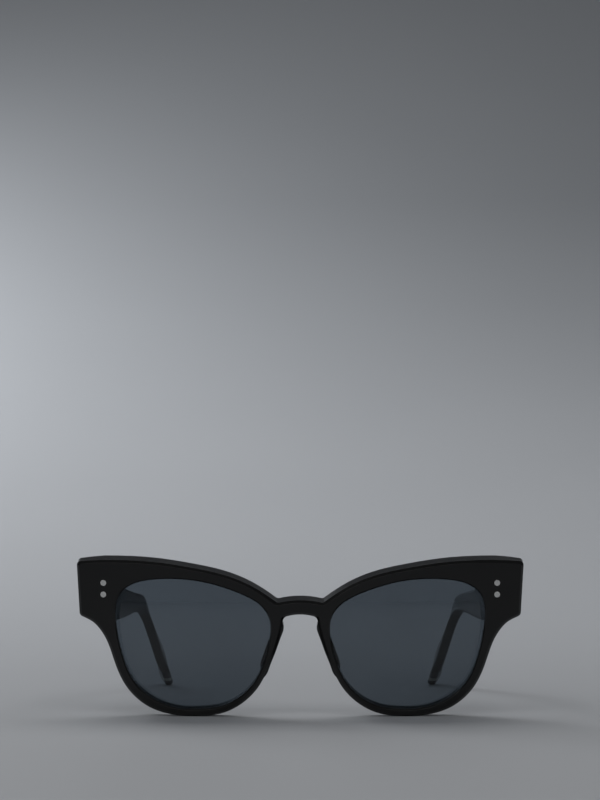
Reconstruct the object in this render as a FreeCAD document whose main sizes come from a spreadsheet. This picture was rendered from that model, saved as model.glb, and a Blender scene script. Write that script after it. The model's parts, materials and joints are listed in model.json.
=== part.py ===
"""Cat eye sunglasses: acetate front and temples, riveted five-knuckle hinges, glued nose pads.

Everything is drawn in the front's own frame: X to the right of someone facing the
sunglasses, Y from the front's face towards the wearer's ears, Z up along the front.
The last step leans the whole model forward until both rims and both temple tips
stand on Z = 0.  Lengths are millimetres and angles are degrees.
"""

import FreeCAD, Part
import math
import os
import Sketcher
from FreeCAD import Placement, Rotation, Vector

os.makedirs("parts", exist_ok=True)
doc = FreeCAD.newDocument("cat_eye_sunglasses")

# Each row is an alias, its value and what it sets.
DRIVING_SIZES = (
    ("lens_width", 50.4, "lens opening, nose to temple"),
    ("lens_height", 42.4, "lens opening, bottom to top"),
    ("bridge_gap", 19.4, "distance between the two lens openings"),
    ("rim_width", 2.4, "rim below the lens"),
    ("brow_width", 4.4, "rim above the middle of the lens"),
    ("bridge_lift", 10.0, "bridge's lower edge above the lens centre"),
    ("bridge_height", 5.35, "bridge, lower edge to upper edge"),
    ("bridge_rim", 4.25, "rim between the lens opening and the keyhole"),
    ("endpiece_reach", 12.8, "lens opening to the outer corner"),
    ("endpiece_height", 18.0, "outer side of the endpiece"),
    ("endpiece_lift", 8.5, "endpiece's lower corner above the lens centre"),
    ("endpiece_thickness", 5.0, "front's thickness at its outer side"),
    ("front_thickness", 7.6, "front sheet"),
    ("curve_radius", 280.0, "front face, seen from above"),
    ("brow_slant", 5.5, "slope of the top surface, rising to the back, in degrees"),
    ("edge_bevel", 0.8, "bevel round the front's outer edge"),
    ("back_bevel", 0.5, "bevel round the front's back edge"),
    ("opening_bevel", 0.45, "bevel round each lens opening"),
    ("lens_radius", 132.0, "outside of the lens, a base 4 sphere"),
    ("lens_thickness", 2.0, "lens"),
    ("lens_recess", 0.8, "front face to the lens, at the lens centre"),
    ("groove_depth", 0.8, "lens edge inside the rim"),
    ("lens_clearance", 0.03, "round the lens in its groove"),
    ("pad_length", 18.5, "nose pad, end to end"),
    ("pad_depth", 6.2, "nose pad behind the front's back face"),
    ("pad_thickness", 3.2, "nose pad at its middle"),
    ("pad_stand", 1.3, "nose pad proud of the rim, towards the nose"),
    ("temple_length", 138.0, "butt to tip, along the temple"),
    ("temple_thickness", 4.2, "temple at the hinge"),
    ("tip_thickness", 3.3, "temple at its tip"),
    ("temple_height", 16.0, "temple at the hinge"),
    ("tip_height", 6.3, "temple behind the ear"),
    ("drop_length", 35.0, "straight part behind the bend"),
    ("bend_angle", 42.0, "drop below the temple's line, in degrees"),
    ("bend_radius", 12.2, "middle of the bend"),
    ("pantoscopic_angle", 11.4, "temple's line below the front's normal, in degrees"),
    ("inward_bow", 12.9, "temple at the bend, inboard of the hinge"),
    ("drop_lean", 12.7, "inward lean of the drop, in degrees"),
    ("drop_twist", 11.2, "faces of the drop turned down towards the head, in degrees"),
    ("temple_inset", 0.7, "temple's outer face inboard of the front's outer side"),
    ("temple_rounding", 1.1, "temple's long edges"),
    ("butt_gap", 0.12, "front to temple, open"),
    ("smoke_band", 3.0, "first layer of the temple tip"),
    ("pale_band", 1.4, "second layer of the temple tip"),
    ("tip_cap", 3.8, "last layer of the temple tip"),
    ("core_height", 1.8, "temple core wire, upright"),
    ("core_thickness", 1.2, "temple core wire, across"),
    ("barrel_radius", 1.1, "hinge knuckles"),
    ("barrel_clearance", 0.15, "temple knuckles to the front leaf"),
    ("temple_clearance", 0.25, "front knuckles to the temple"),
    ("knuckle_height", 1.1, "one of the five knuckles"),
    ("knuckle_play", 0.03, "between two knuckles"),
    ("leaf_thickness", 0.8, "hinge leaves"),
    ("leaf_height", 6.6, "hinge leaves, upright"),
    ("front_leaf_width", 5.2, "front leaf, along the front"),
    ("temple_leaf_length", 11.0, "temple leaf, along the temple"),
    ("screw_radius", 0.7, "hinge screw shank"),
    ("screw_play", 0.05, "round the screw in the knuckles"),
    ("screw_head_radius", 1.1, "hinge screw head"),
    ("screw_head_height", 0.55, "hinge screw head"),
    ("slot_width", 0.3, "screwdriver slot"),
    ("slot_depth", 0.25, "screwdriver slot"),
    ("rivet_spacing", 3.8, "upper rivet to lower rivet"),
    ("rivet_inset", 8.8, "front rivets inboard of the front's outer side"),
    ("temple_rivet_setback", 6.5, "temple rivets behind the butt"),
    ("rivet_radius", 0.65, "rivet shank"),
    ("rivet_head_radius", 0.95, "rivet head"),
    ("rivet_head_height", 0.7, "rivet head, sunk in the acetate"),
    ("rivet_proud", 0.06, "rivet head proud of the acetate"),
    ("rivet_peen", 0.3, "rivet tail peened over its leaf"),
    ("rivet_peen_radius", 0.8, "rivet tail peened over its leaf"),
    ("leaf_setback", 0.6, "temple leaf behind the butt"),
)

SIDES = (("left", 1), ("right", -1))  # the wearer's left is on +X
REACH = 400.0  # longer than the whole model, for tools that cut right through
THROUGH = "200 mm"  # the same for tools that start near what they cut
X_AXIS, Y_AXIS, Z_AXIS = Vector(1, 0, 0), Vector(0, 1, 0), Vector(0, 0, 1)

# How the lens opening is shaped: (across, up) as shares of its width and height from its
# centre, with positive across towards the temple.
OPENING_SHAPE = (
    (0.000, -0.500), (0.150, -0.480), (0.290, -0.402), (0.385, -0.290), (0.450, -0.120),
    (0.484, 0.040), (0.500, 0.220), (0.478, 0.358), (0.400, 0.446), (0.268, 0.490),
    (0.105, 0.500), (-0.060, 0.481), (-0.215, 0.433), (-0.350, 0.370), (-0.445, 0.294),
    (-0.497, 0.185), (-0.495, 0.040), (-0.460, -0.130), (-0.384, -0.305), (-0.288, -0.412),
    (-0.150, -0.483),
)
# How the outer edge runs below the endpiece, round under the lens and up beside the nose,
# as the same shares of the opening with its rim.
RIM_SHAPE = (
    (0.598, 0.140), (0.556, 0.095), (0.509, 0.008), (0.462, -0.144), (0.393, -0.309),
    (0.261, -0.443), (0.114, -0.494), (-0.034, -0.500), (-0.179, -0.474), (-0.304, -0.394),
    (-0.386, -0.292), (-0.443, -0.165), (-0.486, -0.040),
)
# How the brow rises from the bridge: share of the lens opening across, and its height in
# millimetres above the brow over the lens centre.
BROW_SHAPE = ((-0.390, -6.00), (-0.234, -2.65), (0.000, 0.0), (0.260, 1.72), (0.488, 2.05))


# ---------------------------------------------------------------- document helpers

def make_sheet():
    """Put the driving sizes in a spreadsheet and return it."""
    sheet = doc.addObject("Spreadsheet::Sheet", "sizes")
    for row, (alias, value, meaning) in enumerate(DRIVING_SIZES, start=1):
        sheet.set(f"A{row}", alias)
        sheet.set(f"B{row}", str(value))
        sheet.set(f"C{row}", meaning)
        sheet.setAlias(f"B{row}", alias)
    doc.recompute()
    return sheet


def size(alias):
    """Read one driving size back from the spreadsheet."""
    return float(sheet.get(alias))


def value(expression):
    """Work out an expression on the spreadsheet."""
    return float(sheet.evalExpression(expression))


def bind(thing, **expressions):
    """Bind properties of an object to the spreadsheet, and return the object."""
    for name, expression in expressions.items():
        thing.setExpression(name, expression)
    return thing


def face(name, edges):
    """A flat face with one closed outline."""
    outline = doc.addObject("Part::Feature", name)
    outline.Shape = Part.Face(Part.Wire(edges))
    return outline


def prism(name, base, direction, length, start=None):
    """Extrude a face along a direction, by a length given as an expression."""
    solid = doc.addObject("Part::Extrusion", name)
    solid.Base = base
    solid.DirMode = "Custom"
    solid.Dir = direction
    solid.Solid = True
    if start is not None:
        solid.Placement = Placement(start, Rotation())
    return bind(solid, LengthFwd=length)


def cylinder(name, radius, height, centre, direction=Z_AXIS):
    """A cylinder from centre along direction, with its sizes given as expressions."""
    solid = doc.addObject("Part::Cylinder", name)
    solid.Placement = Placement(centre, Rotation(Z_AXIS, direction))
    return bind(solid, Radius=radius, Height=height)


def ball(name, radius, centre):
    """A sphere whose radius is an expression."""
    solid = doc.addObject("Part::Sphere", name)
    solid.Placement = Placement(centre, Rotation())
    return bind(solid, Radius=radius)


def block(name, low, high):
    """A box between two corners."""
    solid = doc.addObject("Part::Box", name)
    solid.Length, solid.Width, solid.Height = high - low
    solid.Placement = Placement(low, Rotation())
    return solid


def cut(name, base, tool):
    """Base with tool taken away."""
    result = doc.addObject("Part::Cut", name)
    result.Base, result.Tool = base, tool
    return result


def common(name, *shapes):
    """What all the shapes share."""
    result = doc.addObject("Part::MultiCommon", name)
    result.Shapes = list(shapes)
    return result


def fuse(name, *shapes):
    """All the shapes as one solid."""
    result = doc.addObject("Part::MultiFuse", name)
    result.Shapes = list(shapes)
    return result


def cut_all(name, base, tools):
    """Base with several tools taken away, one after another."""
    result = base
    for number, tool in enumerate(tools, start=1):
        result = cut(f"{name}_{number}", result, tool)
    return result


def own_copy(name, source):
    """The same solid as an object of its own, which can be moved without its source."""
    copy = doc.addObject("Part::Compound", name)
    copy.Links = [source]
    return copy


def mirror_image(name, source):
    """The same shape on the wearer's other side; it follows its source when that moves."""
    image = doc.addObject("Part::Mirroring", name)
    image.Source = source
    image.Base = Vector()
    image.Normal = X_AXIS
    return image


def trim_edges(kind, name, base, amount, wanted):
    """Chamfer or fillet the edges of base for which wanted(edge) is true."""
    doc.recompute()
    result = doc.addObject(kind, name)
    result.Base = base
    result.Edges = [
        (number, amount, amount)
        for number, edge in enumerate(base.Shape.Edges, start=1)
        if wanted(edge)
    ]
    return result


def samples(edge, count=5):
    """Points spread along an edge."""
    return edge.discretize(count)


# ---------------------------------------------------------------- outline helpers

def rotated(vector, degrees):
    """A vector in the XZ plane turned from X towards Z."""
    angle = math.radians(degrees)
    return Vector(
        vector.x * math.cos(angle) - vector.z * math.sin(angle),
        0,
        vector.x * math.sin(angle) + vector.z * math.cos(angle),
    )


def corner_arc(corner, heading_in, heading_out, radius):
    """The arc that rounds a corner, tangent to both headings."""
    setback = radius * math.tan(heading_in.getAngle(heading_out) / 2)
    start = corner - heading_in * setback
    end = corner + heading_out * setback
    inward = (heading_out - heading_in).normalize()
    half_turn = heading_in.getAngle(heading_out) / 2
    middle = corner + inward * (radius / math.cos(half_turn) - radius)
    return Part.Arc(start, middle, end).toShape(), start, end


def spline(points, start_heading, end_heading):
    """A smooth open curve through the points that leaves and arrives along unit headings."""
    along = [0.0]
    for before, after in zip(points, points[1:]):
        along.append(along[-1] + before.distanceToPoint(after))
    curve = Part.BSplineCurve()
    curve.interpolate(
        Points=points,
        Parameters=along,
        InitialTangent=start_heading,
        FinalTangent=end_heading,
        Scale=False,
    )
    return curve.toShape()


def mirrored(edges):
    """Edges reflected across the middle of the sunglasses."""
    return [edge.mirror(Vector(), X_AXIS) for edge in edges]


def closed_spline(points):
    """A smooth closed curve through the points."""
    curve = Part.BSplineCurve()
    curve.interpolate(Points=points, PeriodicFlag=True)
    return curve.toShape()


def lens_centre():
    """Middle of the left lens opening, on the plane of the front's vertex."""
    across = (size("bridge_gap") + size("lens_width")) / 2
    up = size("rim_width") + size("lens_height") / 2
    return Vector(across, 0, up)


def beside_lens(shape, margin):
    """Points given as shares of the left lens opening grown by a margin."""
    width = size("lens_width") + 2 * margin
    height = size("lens_height") + 2 * margin
    return [lens_centre() + Vector(across * width, 0, up * height) for across, up in shape]


def lens_outline(margin):
    """Closed outline of the left lens opening, grown by a margin."""
    return [closed_spline(beside_lens(OPENING_SHAPE, margin))]


# ---------------------------------------------------------------- places worked out once

def front_face_depth(across):
    """Y of the front's curved face at a distance across."""
    radius = size("curve_radius")
    return radius - math.sqrt(radius**2 - across**2)


def work_out_places():
    """Places that several sub-parts share, all from the driving sizes."""
    places = {}
    centre = lens_centre()
    places["outer"] = centre.x + size("lens_width") / 2 + size("endpiece_reach")
    places["endpiece_low"] = centre.z + size("endpiece_lift")
    places["hinge_height"] = places["endpiece_low"] + size("endpiece_height") / 2
    places["butt"] = front_face_depth(places["outer"]) + size("endpiece_thickness")
    places["temple_outer"] = places["outer"] - size("temple_inset")
    places["temple_inner"] = places["temple_outer"] - size("temple_thickness")
    places["rivet_across"] = places["outer"] - size("rivet_inset")
    reach = size("barrel_radius") + size("temple_clearance")
    places["pivot_across"] = places["temple_inner"] - reach
    rise = size("leaf_thickness") + size("barrel_radius") + size("barrel_clearance")
    places["pivot_depth"] = places["butt"] + rise
    places["temple_start"] = places["butt"] + size("butt_gap")
    return places


# ---------------------------------------------------------------- front

FRONT_MARGIN = 2.0  # how far the front's blank starts ahead of its face
CORNER_ROUNDING = 1.4  # outer corners of the endpieces
VALLEY_ROUNDING = 1.2  # where the brow meets the bridge
KEYHOLE_ROUNDING = 1.9  # upper corners of the keyhole
BRIDGE_ARCH = 0.8  # rise of the bridge's upper edge
BRIDGE_NARROWING = 2.9  # lens opening to the end of the bridge's upper edge
KEYHOLE_ARCH = 0.6  # rise of the bridge's lower edge
KEYHOLE_NARROWING = 1.15  # keyhole's side to the end of the bridge's lower edge

# Headings of the outline in degrees, from straight out towards the temple, turning upwards.
BROW_RISE = 36.0  # brow as it leaves the bridge
BROW_END = -9.0  # brow as it reaches the outer corner
SIDE_FALL = -93.0  # outer side of the endpiece, downwards
UNDER_ENDPIECE = 205.0  # lower side of the endpiece, inwards
KEYHOLE_SIDE = 102.7  # keyhole's side, upwards


def arch_heading(half_chord, rise):
    """Slope, in degrees, at the end of a shallow symmetric arch."""
    return math.degrees(2 * math.atan(rise / half_chord))


def front_outline(depth):
    """Closed outline of the front at a depth; its top climbs with depth."""
    centre = lens_centre()
    slope = math.tan(math.radians(size("brow_slant")))
    level = centre.z + size("lens_height") / 2 + size("brow_width")
    bridge_low = centre.z + size("bridge_lift")
    bridge_top = bridge_low + size("bridge_height")

    def on_top(across, up):
        """A point of the top surface, given its height along the back edge."""
        back = min(front_face_depth(across) + size("front_thickness"), places["butt"])
        return Vector(across, 0, up + (depth - back) * slope)

    # Bridge's upper arch, and the valley beside it.
    arch_half = size("bridge_gap") / 2 - BRIDGE_NARROWING
    fall = arch_heading(arch_half, BRIDGE_ARCH)
    down_arch, up_brow = rotated(X_AXIS, -fall), rotated(X_AXIS, BROW_RISE)
    arch_end = on_top(arch_half, bridge_top - BRIDGE_ARCH)
    setback = VALLEY_ROUNDING * math.tan(down_arch.getAngle(up_brow) / 2)
    valley, _, brow_start = corner_arc(
        arch_end + down_arch * setback, down_arch, up_brow, VALLEY_ROUNDING
    )
    upper_arch = Part.Arc(
        Vector(-arch_end.x, 0, arch_end.z), on_top(0.0, bridge_top), arch_end
    ).toShape()

    # Brow, outer corner, outer side and the endpiece's lower corner.
    along_brow, under_endpiece = rotated(X_AXIS, BROW_END), rotated(X_AXIS, UNDER_ENDPIECE)
    top_corner = on_top(places["outer"], places["endpiece_low"] + size("endpiece_height"))
    low_corner = Vector(places["outer"], 0, places["endpiece_low"] + size("endpiece_height"))
    low_corner += rotated(X_AXIS, SIDE_FALL) * size("endpiece_height")
    side_heading = (low_corner - top_corner).normalize()
    outer_arc, brow_end, side_start = corner_arc(
        top_corner, along_brow, side_heading, CORNER_ROUNDING
    )
    lower_arc, side_end, rim_start = corner_arc(
        low_corner, side_heading, under_endpiece, CORNER_ROUNDING
    )
    brow_points = [
        on_top(centre.x + u * size("lens_width"), level + rise) for u, rise in BROW_SHAPE
    ]
    brow = spline([brow_start, *brow_points, brow_end], up_brow, along_brow)
    side = Part.makeLine(side_start, side_end)

    # Keyhole corner, then the rim from the endpiece round to it.
    keyhole = size("bridge_gap") / 2 - size("bridge_rim")
    keyhole_end = Vector(keyhole - KEYHOLE_NARROWING, 0, bridge_low - KEYHOLE_ARCH)
    into_arch = rotated(X_AXIS, 180.0 - arch_heading(keyhole_end.x, KEYHOLE_ARCH))
    up_keyhole = rotated(X_AXIS, KEYHOLE_SIDE)
    setback = KEYHOLE_ROUNDING * math.tan(up_keyhole.getAngle(into_arch) / 2)
    keyhole_arc, rim_end, _ = corner_arc(
        keyhole_end - into_arch * setback, up_keyhole, into_arch, KEYHOLE_ROUNDING
    )
    rim_points = beside_lens(RIM_SHAPE, size("rim_width"))
    rim = spline([rim_start, *rim_points, rim_end], under_endpiece, up_keyhole)
    lower_arch = Part.Arc(
        keyhole_end, Vector(0, 0, bridge_low), Vector(-keyhole_end.x, 0, keyhole_end.z)
    ).toShape()

    half = [valley, brow, outer_arc, side, lower_arc, rim, keyhole_arc]
    outline = [upper_arch, *half, lower_arch, *reversed(mirrored(half))]
    for edge in outline:
        edge.translate(Vector(0, depth, 0))
    return outline


def at_radius(edge, radius):
    """Whether an edge lies on a cylinder about the front's bending axis."""
    bending_axis = size("curve_radius")
    return all(
        abs(math.hypot(point.x, point.y - bending_axis) - radius) < 0.01
        for point in samples(edge)
    )


def is_upright(edge):
    """Whether an edge stays at one distance across, as where the back turns flat."""
    across = [point.x for point in samples(edge)]
    return max(across) - min(across) < 0.5


def make_front_blank():
    """The curved, bevelled front before its lens openings."""
    depth = places["butt"] + 3 * FRONT_MARGIN
    outlines = []
    for name, level in (("front_outline", -FRONT_MARGIN), ("back_outline", depth)):
        outline = doc.addObject("Part::Feature", name)
        outline.Shape = Part.Wire(front_outline(level))
        outlines.append(outline)
    block_of_acetate = doc.addObject("Part::Loft", "front_loft")
    block_of_acetate.Sections = outlines
    block_of_acetate.Solid = True
    block_of_acetate.Ruled = True

    axis = Vector(0, size("curve_radius"), -FRONT_MARGIN)
    outer_drum = cylinder("outer_drum", "sizes.curve_radius", THROUGH, axis)
    inner_drum = cylinder(
        "inner_drum", "sizes.curve_radius - sizes.front_thickness", THROUGH, axis
    )
    sheet_of_acetate = cut("bent_sheet", outer_drum, inner_drum)
    flat_backs = block(
        "flat_backs",
        Vector(-REACH, -FRONT_MARGIN, -FRONT_MARGIN),
        Vector(REACH, places["butt"], REACH),
    )
    blank = common("front_blank", block_of_acetate, sheet_of_acetate, flat_backs)
    radius = size("curve_radius")
    back_radius = radius - size("front_thickness")
    bevelled = trim_edges(
        "Part::Chamfer", "front_bevel", blank, size("edge_bevel"),
        lambda edge: at_radius(edge, radius),
    )
    return trim_edges(
        "Part::Chamfer", "back_bevel_cut", bevelled, size("back_bevel"),
        lambda edge: at_radius(edge, back_radius) and not is_upright(edge),
    )


def lens_shell(name, margin, extra):
    """A lens-shaped slice: the opening grown by margin, its thickness by extra on each face."""
    centre = lens_centre()
    to_axis = Vector(-centre.x, size("curve_radius"), 0).normalize()
    vertex = Vector(centre.x, front_face_depth(centre.x), centre.z)
    ball_centre = vertex + to_axis * (size("lens_recess") + size("lens_radius"))
    outline = face(f"{name}_outline", lens_outline(margin))
    slab = prism(f"{name}_prism", outline, Y_AXIS, THROUGH)
    outside = ball(f"{name}_outside", f"sizes.lens_radius + {extra}", ball_centre)
    inside = ball(
        f"{name}_inside", f"sizes.lens_radius - sizes.lens_thickness - {extra}", ball_centre
    )
    return common(name, slab, cut(f"{name}_shell", outside, inside))


def make_lens():
    """The left lens, its edge bevelled where it sits in the groove."""
    lens = lens_shell("lens_blank", size("groove_depth"), 0)
    bevel = size("lens_thickness") / 5
    return trim_edges("Part::Chamfer", "lens_bevel", lens, bevel, is_long_edge)


def is_long_edge(edge):
    """Whether an edge runs round a whole outline rather than across it."""
    return edge.Length > 10.0


def is_opening_edge(edge):
    """Whether an edge is the front or back edge of a lens opening."""
    radius = size("curve_radius")
    on_a_face = at_radius(edge, radius) or at_radius(edge, radius - size("front_thickness"))
    nearest = min(abs(point.x) for point in samples(edge, 60))
    beside_bridge = abs(nearest - size("bridge_gap") / 2) < size("groove_depth") / 2
    return on_a_face and is_long_edge(edge) and beside_bridge


def make_front(blank):
    """The front with its lens openings and grooves cut in the blank."""
    opening = prism("opening", face("opening_outline", lens_outline(0)), Y_AXIS, THROUGH)
    opened = cut_all("front_opened", blank, (opening, mirror_image("opening_right", opening)))
    bevelled = trim_edges(
        "Part::Chamfer", "opening_bevels", opened, size("opening_bevel"), is_opening_edge
    )
    margin = size("groove_depth") + size("lens_clearance")
    groove = lens_shell("groove", margin, size("lens_clearance"))
    grooves = (groove, mirror_image("groove_right", groove))
    return cut_all("front_grooved", bevelled, grooves)


PAD_STATIONS = 8  # sections of a nose pad, front to back
PAD_POINTS = 12  # points round one of them
PAD_FLARE = 1.2  # a pad's back end towards the cheek
PAD_TOP = (-0.7, -3.7)  # its upper end, (across, up) from the keyhole's upper corner
PAD_SETBACK = 0.5  # its front end behind the front's bevel


def blunt(share):
    """Push a cosine or sine outwards, so that an oval gets blunter ends."""
    return math.copysign(abs(share) ** 0.7, share)


def pad_section(middle, along, depth):
    """Closed outline of the left pad at a depth."""
    inward = Vector(-along.z, 0, along.x)
    behind = max(0.0, depth - size("front_thickness")) / size("pad_depth")
    length = size("pad_length") * math.sqrt(1 - 0.75 * behind**2.5)
    fullness = (0.5 + 0.35 * min(1.0, 2 * behind)) * math.sqrt(1 - 0.8 * behind**3)
    thickness = fullness * size("pad_thickness")
    heart = middle - inward * (thickness / 2 + PAD_FLARE * behind**1.6)
    points = []
    for step in range(PAD_POINTS):
        angle = 2 * math.pi * step / PAD_POINTS
        point = heart + along * blunt(math.cos(angle)) * length / 2
        point += inward * blunt(math.sin(angle)) * thickness / 2
        points.append(point + Vector(0, depth, 0))
    return Part.Wire([closed_spline(points)])


def make_pad(front):
    """The left nose pad: a flared oval block glued along the rim and trimmed to fit it."""
    keyhole = size("bridge_gap") / 2 - size("bridge_rim")
    bridge_low = lens_centre().z + size("bridge_lift")
    top = Vector(keyhole + PAD_TOP[0], 0, bridge_low + PAD_TOP[1])
    foot = beside_lens(RIM_SHAPE, size("rim_width"))[-3]
    along = (top - foot + Vector(size("pad_stand"), 0, 0)).normalize()
    middle = top - along * (size("pad_length") / 2)
    first = size("edge_bevel") + PAD_SETBACK
    last = size("front_thickness") + size("pad_depth")
    sections = []
    for number in range(PAD_STATIONS):
        depth = first + (last - first) * number / (PAD_STATIONS - 1)
        section = doc.addObject("Part::Feature", f"pad_section_{number}")
        section.Shape = pad_section(middle, along, depth)
        sections.append(section)
    blank = doc.addObject("Part::Loft", "pad_blank")
    blank.Sections = sections
    blank.Solid = True
    return cut("pad_trimmed", blank, front)


# ---------------------------------------------------------------- temples

def temple_point(along, up):
    """A point given along the temple from its butt, and above its line."""
    angle = math.radians(size("pantoscopic_angle"))
    return Vector(
        0,
        places["temple_start"] + along * math.cos(angle) + up * math.sin(angle),
        places["hinge_height"] - along * math.sin(angle) + up * math.cos(angle),
    )


def bend_places():
    """Where the temple bends: start of the bend, its centre and the drop's heading."""
    bend = math.radians(size("bend_angle"))
    arc = size("bend_radius") * bend
    start = size("temple_length") - size("drop_length") - arc
    return start, -size("bend_radius"), (math.cos(bend), -math.sin(bend))


def temple_edge(offset, points, drop):
    """One long edge of the side view: spline, bend, drop; offset is its height at the bend."""
    start, centre_up, (run, fall) = bend_places()
    radius = size("bend_radius") + offset
    bend = math.radians(size("bend_angle"))
    arc_points = []
    for share in (0.0, 0.5, 1.0):
        angle = share * bend
        arc_points.append(
            temple_point(start + radius * math.sin(angle), centre_up + radius * math.cos(angle))
        )
    down = temple_point(run, fall) - temple_point(0, 0)
    end = arc_points[-1] + down * drop
    heading = temple_point(1, 0) - temple_point(0, 0)
    lead = [temple_point(along, up) for along, up in points] + [arc_points[0]]
    first = (lead[1] - lead[0]).normalize()
    return [
        spline(lead, first, heading),
        Part.Arc(*arc_points).toShape(),
        Part.makeLine(arc_points[-1], end),
    ], end


def temple_side_view(name, half_height, upper, lower, drop, round_tip):
    """Face of the temple, or of its core, seen from the side."""
    top, top_end = temple_edge(half_height, upper, drop)
    bottom, bottom_end = temple_edge(-half_height, lower, drop)
    _, _, (run, fall) = bend_places()
    heading = temple_point(run, fall) - temple_point(0, 0)
    if round_tip:
        tip = (top_end + bottom_end) / 2 + heading * half_height
        cap = Part.Arc(top_end, tip, bottom_end).toShape()
    else:
        cap = Part.makeLine(top_end, bottom_end)
    first, last = top[0].Vertexes[0].Point, bottom[0].Vertexes[0].Point
    return face(name, [*top, cap, *reversed(bottom), Part.makeLine(last, first)])


LEAF_RUN_ON = 4.0  # straight part of the temple behind its hinge leaf
SLAB_LEAD = 4.0  # how far the temple's slab runs past both of its ends
SLAB_REACH = 9.0  # half the slab's height, less than the bend's radius
PLANED = 0.05  # planed off the temple's outer side, which leaves it flat at the hinge


def straight_length():
    """Length of the temple, from its butt, that is straight seen from above."""
    return size("temple_leaf_length") + LEAF_RUN_ON


def temple_middle(along):
    """Distance across of the temple's middle: straight, then bowed, then leaning in."""
    start, straight = bend_places()[0], straight_length()
    hinge = places["temple_inner"] + (size("temple_thickness") + PLANED) / 2
    bowed = min(max(along - straight, 0.0) / (start - straight), 1.0)
    beyond = max(along - start, 0.0)
    lean = math.tan(math.radians(size("drop_lean")))
    return hinge - size("inward_bow") * bowed**1.5 - beyond * lean


def temple_frame(along):
    """At a length along the temple: the middle of its side view, and the slab's upright."""
    start, centre_up, _ = bend_places()
    radius, bend = size("bend_radius"), math.radians(size("bend_angle"))
    turned = min(max(along - start, 0.0) / radius, bend)
    straight_on = min(along, start) + max(along - start - radius * bend, 0.0) * math.cos(turned)
    sunk = max(along - start - radius * bend, 0.0) * math.sin(turned)
    middle = temple_point(
        straight_on + radius * math.sin(turned),
        centre_up + radius * math.cos(turned) - sunk,
    )
    upright = temple_point(math.sin(turned), math.cos(turned)) - temple_point(0, 0)
    twist = math.tan(math.radians(size("drop_twist"))) * turned / bend
    return middle, upright + X_AXIS * twist


def temple_slab(name, first, last):
    """A bent slab as thick as the temple; first and last are its two thicknesses."""
    start, straight, span = bend_places()[0], straight_length(), size("temple_length")
    bend_end = start + size("bend_radius") * math.radians(size("bend_angle"))
    stretches = (
        (-SLAB_LEAD, straight, 4), (straight, start, 7), (start, bend_end, 3),
        (bend_end, span + SLAB_LEAD, 3),
    )
    stations = [-SLAB_LEAD]
    for low, high, steps in stretches:
        stations += [low + (high - low) * step / steps for step in range(1, steps + 1)]
    sections = []
    for number, along in enumerate(stations):
        middle, upright = temple_frame(along)
        across = temple_middle(along)
        thinned = max(along - straight, 0.0) / (span - straight)
        half = (first + (last - first) * thinned) / 2
        corners = [
            middle + upright * up + Vector(across + out, 0, 0)
            for up, out in (
                (SLAB_REACH, half), (SLAB_REACH, -half), (-SLAB_REACH, -half), (-SLAB_REACH, half)
            )
        ]
        section = doc.addObject("Part::Feature", f"{name}_section_{number}")
        section.Shape = Part.makePolygon([*corners, corners[0]])
        sections.append(section)
    slab = doc.addObject("Part::Loft", f"{name}_slab")
    slab.Sections = sections
    slab.Solid = True
    return slab


def temple_shape(name, side_view, first, last):
    """The part of a bent slab that has a given side view."""
    seen_from_side = prism(f"{name}_side_prism", side_view, X_AXIS, THROUGH)
    return common(f"{name}_blank", seen_from_side, temple_slab(name, first, last))


def butt_point(height):
    """(along, up) of the point of the butt face at a height above the hinge."""
    angle = math.radians(size("pantoscopic_angle"))
    return -height * math.sin(angle), height * math.cos(angle)


def is_behind_butt(edge):
    """Whether an edge of a temple is away from its butt face."""
    return max(point.y for point in samples(edge)) > places["temple_start"] + 0.01


# A temple's edges and its core between the butt and the bend: shares of that length along,
# and shares of half the temple's height above its line.
TEMPLE_UPPER = ((0.32, 0.80), (0.64, 0.58))
TEMPLE_LOWER = ((0.32, -1.03), (0.56, -1.05), (0.71, -0.91), (0.86, -0.60))
CORE_MIDDLE = ((0.20, -0.06), (0.32, -0.11), (0.60, -0.16), (0.80, -0.11))
CORE_COVER = 3.0  # acetate between the core's end and the first tip layer


def profile(shares, offset=0.0):
    """(along, up) points from shares of the temple's own sizes."""
    start = bend_places()[0]
    half = size("temple_height") / 2
    return [(along * start, up * half + offset) for along, up in shares]


def make_temple_blank():
    """The whole left temple before its tip is layered and its hinge is let in."""
    half = size("temple_height") / 2
    upper = [butt_point(half), *profile(TEMPLE_UPPER)]
    lower = [butt_point(-half), *profile(TEMPLE_LOWER)]
    view = temple_side_view(
        "temple_side_view", size("tip_height") / 2, upper, lower,
        size("drop_length") - size("tip_height") / 2, True,
    )
    thickness = size("temple_thickness") + PLANED
    blank = temple_shape("temple", view, thickness, size("tip_thickness"))
    rounded = trim_edges(
        "Part::Fillet", "temple_rounded", blank, size("temple_rounding"), is_behind_butt
    )
    far = Vector(REACH, REACH, REACH)
    inboard = block("inboard", far * -1, Vector(places["temple_outer"], REACH, REACH))
    return common("temple_planed", rounded, inboard)


def make_core():
    """The flat core wire inside the left temple."""
    half = size("core_height") / 2
    upper, lower = profile(CORE_MIDDLE, half), profile(CORE_MIDDLE, -half)
    layers = size("smoke_band") + size("pale_band") + size("tip_cap")
    view = temple_side_view(
        "core_side_view", half, upper, lower, size("drop_length") - layers - CORE_COVER, False
    )
    return temple_shape("core", view, size("core_thickness"), size("core_thickness"))


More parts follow.
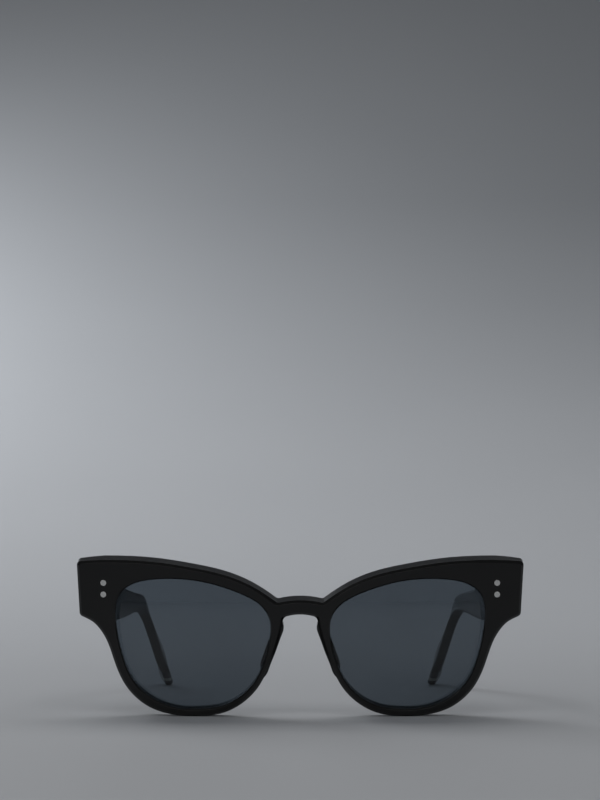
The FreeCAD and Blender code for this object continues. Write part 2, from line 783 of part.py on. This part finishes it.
def tip_slice(name, near, far):
    """Slab square to the drop, from near to far in front of the left temple's very tip."""
    start, centre_up, (run, fall) = bend_places()
    bend = math.radians(size("bend_angle"))
    radius = size("bend_radius")
    along = start + radius * math.sin(bend) + run * (size("drop_length") - far)
    up = centre_up + radius * math.cos(bend) + fall * (size("drop_length") - far)
    slab = doc.addObject("Part::Box", name)
    slab.Length, slab.Width, slab.Height = REACH, far - near, 4 * size("tip_height")
    turn = Rotation(X_AXIS, -size("pantoscopic_angle") - size("bend_angle"))
    corner = turn.multVec(Vector(-REACH / 2, 0, -2 * size("tip_height")))
    slab.Placement = Placement(temple_point(along, up) + corner, turn)
    return slab


def make_tip_layers(blank):
    """The three laminated layers of the left tip, and the slab that removes them all."""
    cap = size("tip_cap")
    pale = cap + size("pale_band")
    smoke = pale + size("smoke_band")
    beyond = -size("tip_height")
    layers = {}
    for name, near, far in (
        ("tip_cap", beyond, cap), ("tip_pale_band", cap, pale), ("tip_smoke_band", pale, smoke)
    ):
        layers[name] = common(f"{name}_layer", blank, tip_slice(f"{name}_slab", near, far))
    return layers, tip_slice("whole_tip", beyond, smoke)


# ---------------------------------------------------------------- hinges

def new_body(name, side):
    """A PartDesign body standing on the hinge axis; the right one is turned over."""
    body = doc.addObject("PartDesign::Body", name)
    turn = Rotation() if side > 0 else Rotation(Y_AXIS, 180)
    pivot = Vector(side * places["pivot_across"], places["pivot_depth"], places["hinge_height"])
    body.Placement = Placement(pivot, turn)
    return body


def sketch_on(body, name, role):
    """A sketch on one of the body's own origin planes."""
    sketch = body.newObject("Sketcher::SketchObject", name)
    plane = next(item for item in body.Origin.OriginFeatures if item.Role == role)
    sketch.AttachmentSupport = (plane, "")
    sketch.MapMode = "FlatFace"
    return sketch


def pin_down(sketch, geometry, point, across, up):
    """Bind a point of a sketch to two expressions."""
    for kind, expression in (("DistanceX", across), ("DistanceY", up)):
        constraint = Sketcher.Constraint(kind, -1, 1, geometry, point, value(expression))
        index = sketch.addConstraint(constraint)
        sketch.setExpression(f"Constraints[{index}]", expression)


def rectangle(sketch, left, right, low, high):
    """A rectangle whose four sides are expressions."""
    first = sketch.GeometryCount
    corners = ((left, low), (right, low), (right, high), (left, high))
    points = [Vector(value(across), value(up), 0) for across, up in corners]
    for number in range(4):
        line = Part.LineSegment(points[number], points[(number + 1) % 4])
        sketch.addGeometry(line, False)
    for number in range(4):
        following = first + (number + 1) % 4
        sketch.addConstraint(
            Sketcher.Constraint("Coincident", first + number, 2, following, 1)
        )
    for number, kind in enumerate(("Horizontal", "Vertical", "Horizontal", "Vertical")):
        sketch.addConstraint(Sketcher.Constraint(kind, first + number))
    pin_down(sketch, first, 1, left, low)
    pin_down(sketch, first + 2, 1, right, high)


def circle(sketch, across, up, radius):
    """A circle whose centre and radius are expressions."""
    centre = Vector(value(across), value(up), 0)
    index = sketch.addGeometry(Part.Circle(centre, Z_AXIS, value(radius)), False)
    pin_down(sketch, index, 3, across, up)
    constraint = sketch.addConstraint(Sketcher.Constraint("Radius", index, value(radius)))
    sketch.setExpression(f"Constraints[{constraint}]", radius)


def pad(body, sketch, length):
    """Pad a sketch equally to both sides."""
    feature = body.newObject("PartDesign::Pad", f"{sketch.Name}_pad")
    feature.Profile = sketch
    feature.Midplane = True
    bind(feature, Length=length)
    doc.recompute()


def pocket_through(body, sketch):
    """Cut a sketch right through, to both sides."""
    before = body.Shape.Volume
    feature = body.newObject("PartDesign::Pocket", f"{sketch.Name}_pocket")
    feature.Profile = sketch
    feature.Type = "ThroughAll"
    feature.Midplane = True
    doc.recompute()
    assert body.Shape.Volume < before, f"{feature.Name} cuts nothing"


def finish_leaf(body, name, gap_role, gap_from, gap_to, gaps, rivet_role, rivets_at):
    """Knuckle gaps, screw bore and rivet holes of one leaf."""
    gap_sketch = sketch_on(body, f"{name}_gaps", gap_role)
    for low, high in gaps:
        rectangle(gap_sketch, gap_from, gap_to, low, high)
    pocket_through(body, gap_sketch)
    bore = sketch_on(body, f"{name}_bore", "XY_Plane")
    circle(bore, "0", "0", "sizes.screw_radius + sizes.screw_play")
    pocket_through(body, bore)
    holes = sketch_on(body, f"{name}_rivet_holes", rivet_role)
    for sign in ("", "-"):
        circle(holes, rivets_at, f"{sign}sizes.rivet_spacing / 2", "sizes.rivet_radius")
    pocket_through(body, holes)


def make_front_leaf(side_name, side):
    """Front leaf: a plate on the endpiece's flat back with three knuckles."""
    name = f"front_hinge_leaf_{side_name}"
    body = new_body(name, side)
    rise = "sizes.leaf_thickness + sizes.barrel_radius + sizes.barrel_clearance"
    plate = sketch_on(body, f"{name}_plate", "XY_Plane")
    rectangle(
        plate, "-sizes.barrel_radius - sizes.front_leaf_width", "0.5 * sizes.barrel_radius",
        f"-({rise})", "-(sizes.barrel_radius + sizes.barrel_clearance)",
    )
    pad(body, plate, "sizes.leaf_height")
    web = sketch_on(body, f"{name}_web", "XY_Plane")
    rectangle(
        web, "-sizes.barrel_radius", "0.4 * sizes.barrel_radius",
        "-(sizes.barrel_radius + sizes.barrel_clearance)", "0",
    )
    pad(body, web, "5 * sizes.knuckle_height")
    barrel = sketch_on(body, f"{name}_barrel", "XY_Plane")
    circle(barrel, "0", "0", "sizes.barrel_radius")
    pad(body, barrel, "5 * sizes.knuckle_height")
    gaps = (
        ("0.5 * sizes.knuckle_height", "1.5 * sizes.knuckle_height"),
        ("-1.5 * sizes.knuckle_height", "-0.5 * sizes.knuckle_height"),
    )
    finish_leaf(
        body, name, "YZ_Plane",
        "-(sizes.barrel_radius + sizes.barrel_clearance)", "2 * sizes.barrel_radius", gaps,
        "XZ_Plane",
        "sizes.temple_inset + sizes.temple_thickness + sizes.barrel_radius"
        " + sizes.temple_clearance - sizes.rivet_inset",
    )
    return body


def make_temple_leaf(side_name, side):
    """Temple leaf: a plate let into the temple's inner face with two knuckles."""
    name = f"temple_hinge_leaf_{side_name}"
    body = new_body(name, side)
    rise = "(sizes.leaf_thickness + sizes.barrel_radius + sizes.barrel_clearance)"
    inner = "sizes.barrel_radius + sizes.temple_clearance"
    near = f"sizes.butt_gap + sizes.leaf_setback - {rise}"
    barrel_height = "3 * sizes.knuckle_height - 2 * sizes.knuckle_play"
    plate = sketch_on(body, f"{name}_plate", "XY_Plane")
    rectangle(
        plate, inner, f"{inner} + sizes.leaf_thickness",
        near, f"{near} + sizes.temple_leaf_length",
    )
    pad(body, plate, "sizes.leaf_height")
    web = sketch_on(body, f"{name}_web", "XY_Plane")
    rectangle(web, "0", inner, "-0.4 * sizes.barrel_radius", "sizes.barrel_radius")
    pad(body, web, barrel_height)
    barrel = sketch_on(body, f"{name}_barrel", "XY_Plane")
    circle(barrel, "0", "0", "sizes.barrel_radius")
    pad(body, barrel, barrel_height)
    half_gap = "0.5 * sizes.knuckle_height + sizes.knuckle_play"
    finish_leaf(
        body, name, "XZ_Plane", "-2 * sizes.barrel_radius", inner,
        ((f"-({half_gap})", half_gap),), "YZ_Plane",
        f"sizes.butt_gap + sizes.temple_rivet_setback - {rise}",
    )
    return body


def make_screw(side_name, side):
    """Hinge screw: turned shank and head, with a slot across the head."""
    name = f"hinge_screw_{side_name}"
    body = new_body(name, 1)
    body.Placement.Base.x *= side
    shank = sketch_on(body, f"{name}_shank", "XY_Plane")
    circle(shank, "0", "0", "sizes.screw_radius")
    pad(body, shank, "5 * sizes.knuckle_height")
    head = sketch_on(body, f"{name}_head", "XY_Plane")
    bind(head, **{".AttachmentOffset.Base.z": "2.5 * sizes.knuckle_height"})
    circle(head, "0", "0", "sizes.screw_head_radius")
    feature = body.newObject("PartDesign::Pad", f"{name}_head_pad")
    feature.Profile = head
    bind(feature, Length="sizes.screw_head_height")
    doc.recompute()
    slot = sketch_on(body, f"{name}_slot", "XZ_Plane")
    top = "2.5 * sizes.knuckle_height + sizes.screw_head_height"
    rectangle(
        slot, "-sizes.slot_width / 2", "sizes.slot_width / 2",
        f"{top} - sizes.slot_depth", f"{top} + sizes.slot_depth",
    )
    pocket_through(body, slot)
    return body


# ---------------------------------------------------------------- rivets

RIVET_ROWS = (("upper", 0.5), ("lower", -0.5))


def make_front_rivet(row, height, ground_to):
    """A left rivet from the front's face to the back of its leaf, and the hole it fills."""
    across = places["rivet_across"]
    foot = Vector(across, -FRONT_MARGIN, height)
    sunk_to = front_face_depth(across) + size("rivet_head_height")
    leaf_back = places["butt"] + size("leaf_thickness")
    head = cylinder(
        f"rivet_head_{row}", "sizes.rivet_head_radius", f"{sunk_to - foot.y} mm", foot, Y_AXIS
    )
    shank = cylinder(
        f"rivet_shank_{row}", "sizes.rivet_radius", f"{leaf_back - foot.y} mm", foot, Y_AXIS
    )
    blank = fuse(f"rivet_blank_{row}", head, shank)
    tail = cylinder(
        f"rivet_tail_{row}", "sizes.rivet_peen_radius", "sizes.rivet_peen",
        Vector(across, leaf_back, height), Y_AXIS,
    )
    ground = common(f"rivet_ground_{row}", blank, ground_to)
    return fuse(f"rivet_{row}", ground, tail), blank


def make_temple_rivet(row, height):
    """A left rivet from the temple's outer face to the inside of its leaf."""
    depth = places["temple_start"] + size("temple_rivet_setback")
    outside = Vector(places["temple_outer"] + size("rivet_proud"), depth, height)
    inside = Vector(places["temple_inner"], depth, height)
    inward = X_AXIS * -1
    head = cylinder(
        f"side_rivet_head_{row}", "sizes.rivet_head_radius", "sizes.rivet_head_height",
        outside, inward,
    )
    shank = cylinder(
        f"side_rivet_shank_{row}", "sizes.rivet_radius",
        "sizes.temple_thickness + sizes.rivet_proud", outside, inward,
    )
    tail = cylinder(
        f"side_rivet_tail_{row}", "sizes.rivet_peen_radius", "sizes.rivet_peen", inside, inward
    )
    return fuse(f"side_rivet_{row}", head, shank, tail)


def leaf_recess():
    """Space for the leaf in the left temple's inner face."""
    low = places["temple_start"] + size("leaf_setback")
    half = size("leaf_height") / 2
    level = places["hinge_height"]
    inner = places["temple_inner"]
    return block(
        "leaf_recess",
        Vector(inner, low, level - half),
        Vector(inner + size("leaf_thickness"), low + size("temple_leaf_length"), level + half),
    )


# ---------------------------------------------------------------- assembly

def make_left_pieces(front):
    """Left pieces whose right twins are mirror images, and the front's rivet holes."""
    ground_to = cylinder(
        "ground_drum", "sizes.curve_radius + sizes.rivet_proud", THROUGH,
        Vector(0, size("curve_radius"), -FRONT_MARGIN),
    )
    inside_temple = {"temple_core": make_core()}
    pieces = {"lens": make_lens(), "nose_pad": make_pad(front)}
    holes = []
    for row, share in RIVET_ROWS:
        height = places["hinge_height"] + share * size("rivet_spacing")
        pieces[f"front_rivet_{row}"], hole = make_front_rivet(row, height, ground_to)
        holes.append(hole)
        inside_temple[f"temple_rivet_{row}"] = make_temple_rivet(row, height)
    temple = make_temple_blank()
    layers, whole_tip = make_tip_layers(temple)
    pieces.update(layers)
    taken = [whole_tip, leaf_recess(), *inside_temple.values()]
    pieces["temple"] = cut_all("temple_finished", temple, taken)
    for name, tool in inside_temple.items():
        pieces[name] = own_copy(name, tool)
    return pieces, holes


def make_pieces():
    """Every sub-part by its node's name: those that are drawn, then the mirror images."""
    front = make_front(make_front_blank())
    left_pieces, left_holes = make_left_pieces(front)
    right_holes = [mirror_image(f"{hole.Name}_right", hole) for hole in left_holes]
    drawn = {
        "frame_front": cut_all("front_riveted", front, [*left_holes, *right_holes]),
        **{f"{name}_left": piece for name, piece in left_pieces.items()},
    }
    for side_name, side in SIDES:
        drawn[f"front_hinge_leaf_{side_name}"] = make_front_leaf(side_name, side)
        drawn[f"temple_hinge_leaf_{side_name}"] = make_temple_leaf(side_name, side)
        drawn[f"hinge_screw_{side_name}"] = make_screw(side_name, side)
    images = {
        f"{name}_right": mirror_image(f"{piece.Name}_right", piece)
        for name, piece in left_pieces.items()
    }
    return drawn, images


def lowest(points, lean):
    """Lowest height of the points once they lean forward by an angle in degrees."""
    angle = math.radians(lean)
    return min(point.y * math.sin(angle) + point.z * math.cos(angle) for point in points)


def standing_lean(front, tip):
    """The lean at which the rims and the temple tips touch the table together."""
    rim_points = front.Shape.tessellate(0.02)[0]
    tip_points = tip.Shape.tessellate(0.02)[0]
    flat, steep = 0.0, 30.0
    while steep - flat > 1e-4:
        lean = (flat + steep) / 2
        if lowest(tip_points, lean) < lowest(rim_points, lean):
            flat = lean
        else:
            steep = lean
    return lean


def stand(drawn, images):
    """Lean the model until it stands, and set the middle of its foot on the origin."""
    lean = standing_lean(drawn["frame_front"], drawn["tip_cap_left"])
    turn = Placement(Vector(), Rotation(X_AXIS, lean))
    whole = Part.makeCompound([piece.Shape for piece in (*drawn.values(), *images.values())])
    whole.Placement = turn
    box = whole.optimalBoundingBox(False, False)
    shift = Placement(Vector(0, -(box.YMin + box.YMax) / 2, -box.ZMin), Rotation())
    for piece in drawn.values():
        piece.Placement = shift.multiply(turn).multiply(piece.Placement)
    doc.recompute()
    return lean


def check(pieces):
    """Stop if any object failed, or any sub-part is empty or broken."""
    for thing in doc.Objects:
        broken = {"Invalid", "Error"} & set(thing.State)
        assert not broken, f"{thing.Name}: {thing.State}"
    for name, piece in pieces.items():
        shape = piece.Shape
        assert not shape.isNull() and shape.isValid(), f"{name} has no valid shape"
        assert len(shape.Solids) == 1, f"{name} has {len(shape.Solids)} solids"


sheet = make_sheet()
places = work_out_places()
drawn, images = make_pieces()
pieces = {**drawn, **images}
for name, piece in pieces.items():
    piece.Label = name
doc.recompute()
check(pieces)
lean = stand(drawn, images)
check(pieces)
for name, piece in pieces.items():
    piece.Shape.exportStep(f"parts/{name}.step")
print(f"{len(pieces)} pieces, leaning {lean:.3f} degrees")
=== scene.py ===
"""Cat eye sunglasses: finishes, light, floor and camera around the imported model.

Lengths are metres.  +X is the wearer's left, -Y the way the lenses face, Z = 0 the table.
Colours are linear red, green and blue.
"""

import json
import math

import bpy
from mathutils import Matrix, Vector


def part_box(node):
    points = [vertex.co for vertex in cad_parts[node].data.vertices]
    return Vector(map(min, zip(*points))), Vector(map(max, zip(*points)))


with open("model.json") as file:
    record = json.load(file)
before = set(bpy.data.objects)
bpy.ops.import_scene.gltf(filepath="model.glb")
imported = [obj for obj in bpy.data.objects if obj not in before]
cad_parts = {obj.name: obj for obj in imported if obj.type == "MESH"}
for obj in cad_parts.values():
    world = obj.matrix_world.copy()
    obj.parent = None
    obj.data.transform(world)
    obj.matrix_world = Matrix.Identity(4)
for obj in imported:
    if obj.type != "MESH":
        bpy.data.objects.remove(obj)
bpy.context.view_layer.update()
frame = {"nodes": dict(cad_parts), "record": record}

MM = 0.001
nodes = frame["nodes"]


# ---------------------------------------------------------------- material helpers

class Recipe:
    """A node material that is built up one node at a time around a Principled shader."""

    def __init__(self, name):
        self.material = bpy.data.materials.new(name)
        self.material.use_nodes = True
        self.tree = self.material.node_tree
        self.shader = self.tree.nodes["Principled BSDF"]
        self.place = self.node("ShaderNodeTexCoord").outputs["Object"]
        self.bump_normal = None

    def node(self, kind, **settings):
        """Add a node with its settings."""
        made = self.tree.nodes.new(kind)
        for name, value in settings.items():
            setattr(made, name, value)
        return made

    def feed(self, socket, source):
        """Give a socket a number, a colour or another node's output."""
        if isinstance(source, bpy.types.NodeSocket):
            self.tree.links.new(source, socket)
        else:
            socket.default_value = source

    def settings(self, **values):
        """Set the shader's own sockets; an underscore stands for a space."""
        for name, value in values.items():
            self.shader.inputs[name.replace("_", " ")].default_value = value

    def stretched(self, scale, turn=(0.0, 0.0, 0.0)):
        """The object's own coordinates, scaled and turned, for grain that runs one way."""
        mapping = self.node("ShaderNodeMapping")
        self.feed(mapping.inputs["Vector"], self.place)
        self.feed(mapping.inputs["Scale"], scale)
        self.feed(mapping.inputs["Rotation"], turn)
        return mapping.outputs["Vector"]

    def noise(self, size, detail=4.0, place=None, distortion=0.0):
        """Noise from 0 to 1 whose features are about size metres across."""
        noise = self.node("ShaderNodeTexNoise")
        self.feed(noise.inputs["Vector"], self.place if place is None else place)
        self.feed(noise.inputs["Scale"], 1.0 / size)
        self.feed(noise.inputs["Detail"], detail)
        self.feed(noise.inputs["Distortion"], distortion)
        return noise.outputs["Fac"]

    def ramp(self, value, low, high, start=0.0, end=1.0):
        """Map value from low..high to start..end, held beyond them."""
        ramp = self.node("ShaderNodeMapRange")
        for socket, source in zip(ramp.inputs, (value, low, high, start, end)):
            self.feed(socket, source)
        return ramp.outputs["Result"]

    def mix(self, amount, first, second):
        """Blend two colours."""
        mix = self.node("ShaderNodeMix", data_type="RGBA")
        self.feed(mix.inputs["Factor"], amount)
        self.feed(mix.inputs["A"], first)
        self.feed(mix.inputs["B"], second)
        return mix.outputs["Result"]

    def add(self, first, second):
        """Add two numbers."""
        total = self.node("ShaderNodeMath", operation="ADD")
        self.feed(total.inputs[0], first)
        self.feed(total.inputs[1], second)
        return total.outputs[0]

    def times(self, first, second):
        """Multiply two numbers."""
        product = self.node("ShaderNodeMath", operation="MULTIPLY")
        self.feed(product.inputs[0], first)
        self.feed(product.inputs[1], second)
        return product.outputs[0]

    def scratches(self, spacing, length, turn, share):
        """Fine scratches of one heading, on a share of the surface."""
        grain = self.noise(spacing, 2.0, self.stretched((1.0, spacing / length, 1.0), turn))
        patches = self.noise(8 * spacing, 1.0)
        lines = self.ramp(grain, 1.0 - share, 1.0 - share + 0.02)
        return self.times(lines, self.ramp(patches, 0.5, 0.7))

    def edges(self, start=0.52, end=0.62):
        """1 on convex edges, where handling rubs."""
        return self.ramp(self.node("ShaderNodeNewGeometry").outputs["Pointiness"], start, end)

    def soften_edges(self, radius):
        """Shade sharp edges as if they were rounded by polishing, to a radius in metres."""
        rounding = self.node("ShaderNodeBevel", samples=6)
        self.feed(rounding.inputs["Radius"], radius)
        self.bump_normal = rounding.outputs["Normal"]

    def bump(self, height, depth):
        """Raise the surface by height, from 0 to 1, times depth in metres."""
        bump = self.node("ShaderNodeBump")
        self.feed(bump.inputs["Height"], height)
        self.feed(bump.inputs["Distance"], depth)
        self.feed(bump.inputs["Strength"], 1.0)
        if self.bump_normal is not None:
            self.feed(bump.inputs["Normal"], self.bump_normal)
        self.bump_normal = bump.outputs["Normal"]

    def finish(self, colour, roughness):
        """Join the colour, the roughness and the bumps to the shader."""
        self.feed(self.shader.inputs["Base Color"], colour)
        self.feed(self.shader.inputs["Roughness"], roughness)
        if self.bump_normal is not None:
            self.feed(self.shader.inputs["Normal"], self.bump_normal)
        return self.material


# ---------------------------------------------------------------- materials

ACETATE_IOR = 1.48
LENS_IOR = 1.50


def acetate(name, colour, streak_colour, gloss):
    """Polished cellulose acetate: faint streaks in the sheet, tumbled surface, hairlines."""
    recipe = Recipe(name)
    streaks = recipe.noise(9 * MM, 3.0, recipe.stretched((0.35, 1.0, 1.0)), 0.6)
    cloud = recipe.noise(22 * MM, 2.0)
    colour = recipe.mix(
        recipe.times(recipe.ramp(streaks, 0.4, 0.7), cloud), (*colour, 1.0), (*streak_colour, 1.0)
    )
    hairlines = recipe.add(
        recipe.scratches(0.05 * MM, 3 * MM, (0.3, 0.2, 0.5), 0.36),
        recipe.scratches(0.04 * MM, 2 * MM, (-0.4, 0.9, -0.8), 0.35),
    )
    smears = recipe.noise(6 * MM, 5.0)
    roughness = recipe.add(
        recipe.ramp(smears, 0.3, 0.7, gloss, gloss + 0.05), recipe.times(hairlines, 0.10)
    )
    roughness = recipe.add(roughness, recipe.times(recipe.edges(), 0.06))
    recipe.soften_edges(0.15 * MM)
    recipe.bump(recipe.noise(3 * MM, 2.0), 0.002 * MM)
    recipe.bump(hairlines, -0.0004 * MM)
    recipe.settings(IOR=ACETATE_IOR)
    return recipe.finish(colour, roughness)


def smoke_lens():
    """Grey smoke lens: tinted through, hard coated, with wiping marks and a faint waviness."""
    recipe = Recipe("smoke_lens")
    tint = recipe.mix(
        recipe.ramp(recipe.noise(30 * MM, 1.0), 0.3, 0.7),
        (0.124, 0.149, 0.174, 1.0), (0.130, 0.157, 0.183, 1.0),
    )
    wiping = recipe.noise(10 * MM, 4.0, recipe.stretched((1.0, 1.0, 0.3), (0.0, 0.5, 0.0)))
    roughness = recipe.ramp(wiping, 0.35, 0.75, 0.0, 0.025)
    recipe.bump(recipe.noise(14 * MM, 1.0), 0.001 * MM)
    recipe.settings(IOR=LENS_IOR, Transmission_Weight=1.0)
    return recipe.finish(tint, roughness)


def metal(name, colour, worn_colour, roughness, grain, turn=(0.0, 0.0, 0.0)):
    """Metal with fine brushing of one heading, dulled patches and brighter edges."""
    recipe = Recipe(name)
    brushing = recipe.noise(grain, 3.0, recipe.stretched((1.0, 1.0, 0.06), turn))
    dull = recipe.ramp(recipe.noise(1.4 * MM, 4.0), 0.35, 0.7)
    tone = recipe.mix(dull, (*colour, 1.0), (*worn_colour, 1.0))
    rough = recipe.add(
        recipe.ramp(brushing, 0.3, 0.7, roughness, roughness + 0.12), recipe.times(dull, 0.08)
    )
    recipe.soften_edges(0.08 * MM)
    recipe.bump(brushing, 0.002 * MM)
    recipe.settings(Metallic=1.0)
    return recipe.finish(tone, rough)


def make_materials():
    """Every slot's material, by the slot's name in the record."""
    return {
        "black_acetate": acetate(
            "black_acetate", (0.0030, 0.0028, 0.0027), (0.0065, 0.0058, 0.0052), 0.10
        ),
        "pad_acetate": acetate(
            "pad_acetate", (0.0045, 0.0044, 0.0044), (0.0085, 0.0078, 0.0074), 0.16
        ),
        "smoke_acetate": acetate(
            "smoke_acetate", (0.060, 0.062, 0.068), (0.095, 0.096, 0.102), 0.12
        ),
        "pale_acetate": acetate(
            "pale_acetate", (0.60, 0.575, 0.51), (0.70, 0.68, 0.62), 0.12
        ),
        "slate_acetate": acetate(
            "slate_acetate", (0.028, 0.033, 0.043), (0.046, 0.052, 0.064), 0.12
        ),
        "smoke_lens": smoke_lens(),
        "rivet_metal": metal(
            "rivet_metal", (0.96, 0.96, 0.94), (0.88, 0.88, 0.86), 0.50, 0.08 * MM
        ),
        "hinge_metal": metal(
            "hinge_metal", (0.56, 0.55, 0.52), (0.42, 0.41, 0.38), 0.28, 0.10 * MM
        ),
        "screw_metal": metal(
            "screw_metal", (0.58, 0.58, 0.59), (0.44, 0.44, 0.45), 0.22, 0.05 * MM,
            (math.pi / 2, 0.0, 0.0),
        ),
        "core_wire": metal(
            "core_wire", (0.50, 0.50, 0.49), (0.40, 0.40, 0.39), 0.34, 0.10 * MM
        ),
    }


def dress_nodes():
    """Give each node the material of its slot."""
    materials = make_materials()
    for subpart in frame["record"]["subparts"]:
        mesh = nodes[subpart["node"]].data
        mesh.materials.clear()
        mesh.materials.append(materials[subpart["material_slot"]])


# ---------------------------------------------------------------- studio

def matt_paper():
    """The pale paper of the floor and backdrop, with faint clouds and a fine tooth."""
    recipe = Recipe("studio_floor")
    tone = recipe.mix(
        recipe.ramp(recipe.noise(0.35, 2.0), 0.3, 0.7),
        (0.50, 0.51, 0.53, 1.0), (0.52, 0.53, 0.55, 1.0),
    )
    recipe.bump(recipe.noise(0.6 * MM, 2.0), 0.01 * MM)
    return recipe.finish(tone, 0.55)


FLOOR_HALF_WIDTH = 3.0
FLOOR_FRONT = -2.2
SWEEP_FOOT = 0.25  # where the flat floor starts to rise
SWEEP_RADIUS = 2.6
SWEEP_STEPS = 48
BACKDROP_TOP = 3.2


def studio_floor():
    """A pale floor that sweeps up into a backdrop behind the sunglasses."""
    profile = [(FLOOR_FRONT, 0.0), (SWEEP_FOOT, 0.0)]
    for step in range(1, SWEEP_STEPS + 1):
        angle = math.pi / 2 * step / SWEEP_STEPS
        profile.append(
            (SWEEP_FOOT + SWEEP_RADIUS * math.sin(angle), SWEEP_RADIUS * (1 - math.cos(angle)))
        )
    profile.append((SWEEP_FOOT + SWEEP_RADIUS, BACKDROP_TOP))
    points = [(side * FLOOR_HALF_WIDTH, y, z) for y, z in profile for side in (-1, 1)]
    faces = [
        (2 * row, 2 * row + 1, 2 * row + 3, 2 * row + 2) for row in range(len(profile) - 1)
    ]
    mesh = bpy.data.meshes.new("studio_floor")
    mesh.from_pydata(points, [], faces)
    mesh.polygons.foreach_set("use_smooth", [True] * len(faces))
    floor = bpy.data.objects.new("studio_floor", mesh)
    bpy.context.scene.collection.objects.link(floor)

    mesh.materials.append(matt_paper())


# Each soft box: name, place, what it faces, width, height, watts and colour.
SOFT_BOXES = (
    ("behind", (0.0, 0.55, 0.80), (0.0, 0.0, 0.0), 1.3, 0.60, 3.4, (0.98, 0.99, 1.0)),
    ("front", (-0.1, -0.72, 0.78), (0.0, 0.0, 0.0), 1.1, 0.50, 1.9, (1.0, 1.0, 1.0)),
    ("backdrop", (-0.60, 1.00, 0.48), (-0.05, 0.95, 0.08), 0.5, 0.50, 4.4, (0.94, 0.97, 1.0)),
)


def soft_box(name, place, target, width, height, watts, colour):
    """A rectangular light at a place, facing a target."""
    light = bpy.data.lights.new(name, "AREA")
    light.shape = "RECTANGLE"
    light.size = width
    light.size_y = height
    light.energy = watts
    light.color = colour
    holder = bpy.data.objects.new(name, light)
    holder.location = place
    holder.rotation_euler = (Vector(target) - Vector(place)).to_track_quat("-Z", "Y").to_euler()
    bpy.context.scene.collection.objects.link(holder)


def light_studio():
    """Soft boxes above the view, behind and in front, one on the backdrop, and a dim room."""
    for box in SOFT_BOXES:
        soft_box(*box)
    world = bpy.data.worlds.new("room")
    world.use_nodes = True
    background = world.node_tree.nodes["Background"]
    background.inputs["Color"].default_value = (0.9, 0.95, 1.0, 1.0)
    background.inputs["Strength"].default_value = 0.10
    bpy.context.scene.world = world
    bpy.context.scene.view_settings.view_transform = "Standard"


# ---------------------------------------------------------------- camera

CAMERA_HEIGHT = 0.1028  # above the table
CAMERA_DISTANCE = 1.176  # ahead of the front's face
CAMERA_ASIDE = -0.00008
FOCAL_LENGTH = 163.6  # millimetres, on a sensor as wide as the next value
SENSOR_WIDTH = 36.0


def place_camera():
    """A level camera in front of the sunglasses, a little above them."""
    front_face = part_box("frame_front")[0][1]
    lens = bpy.data.cameras.new("camera")
    lens.lens = FOCAL_LENGTH
    lens.sensor_width = SENSOR_WIDTH
    lens.clip_start = 0.01
    camera = bpy.data.objects.new("camera", lens)
    camera.location = (CAMERA_ASIDE, front_face - CAMERA_DISTANCE, CAMERA_HEIGHT)
    camera.rotation_euler = (math.pi / 2, 0.0, 0.0)
    bpy.context.scene.collection.objects.link(camera)
    bpy.context.scene.camera = camera


dress_nodes()
studio_floor()
light_studio()
place_camera()
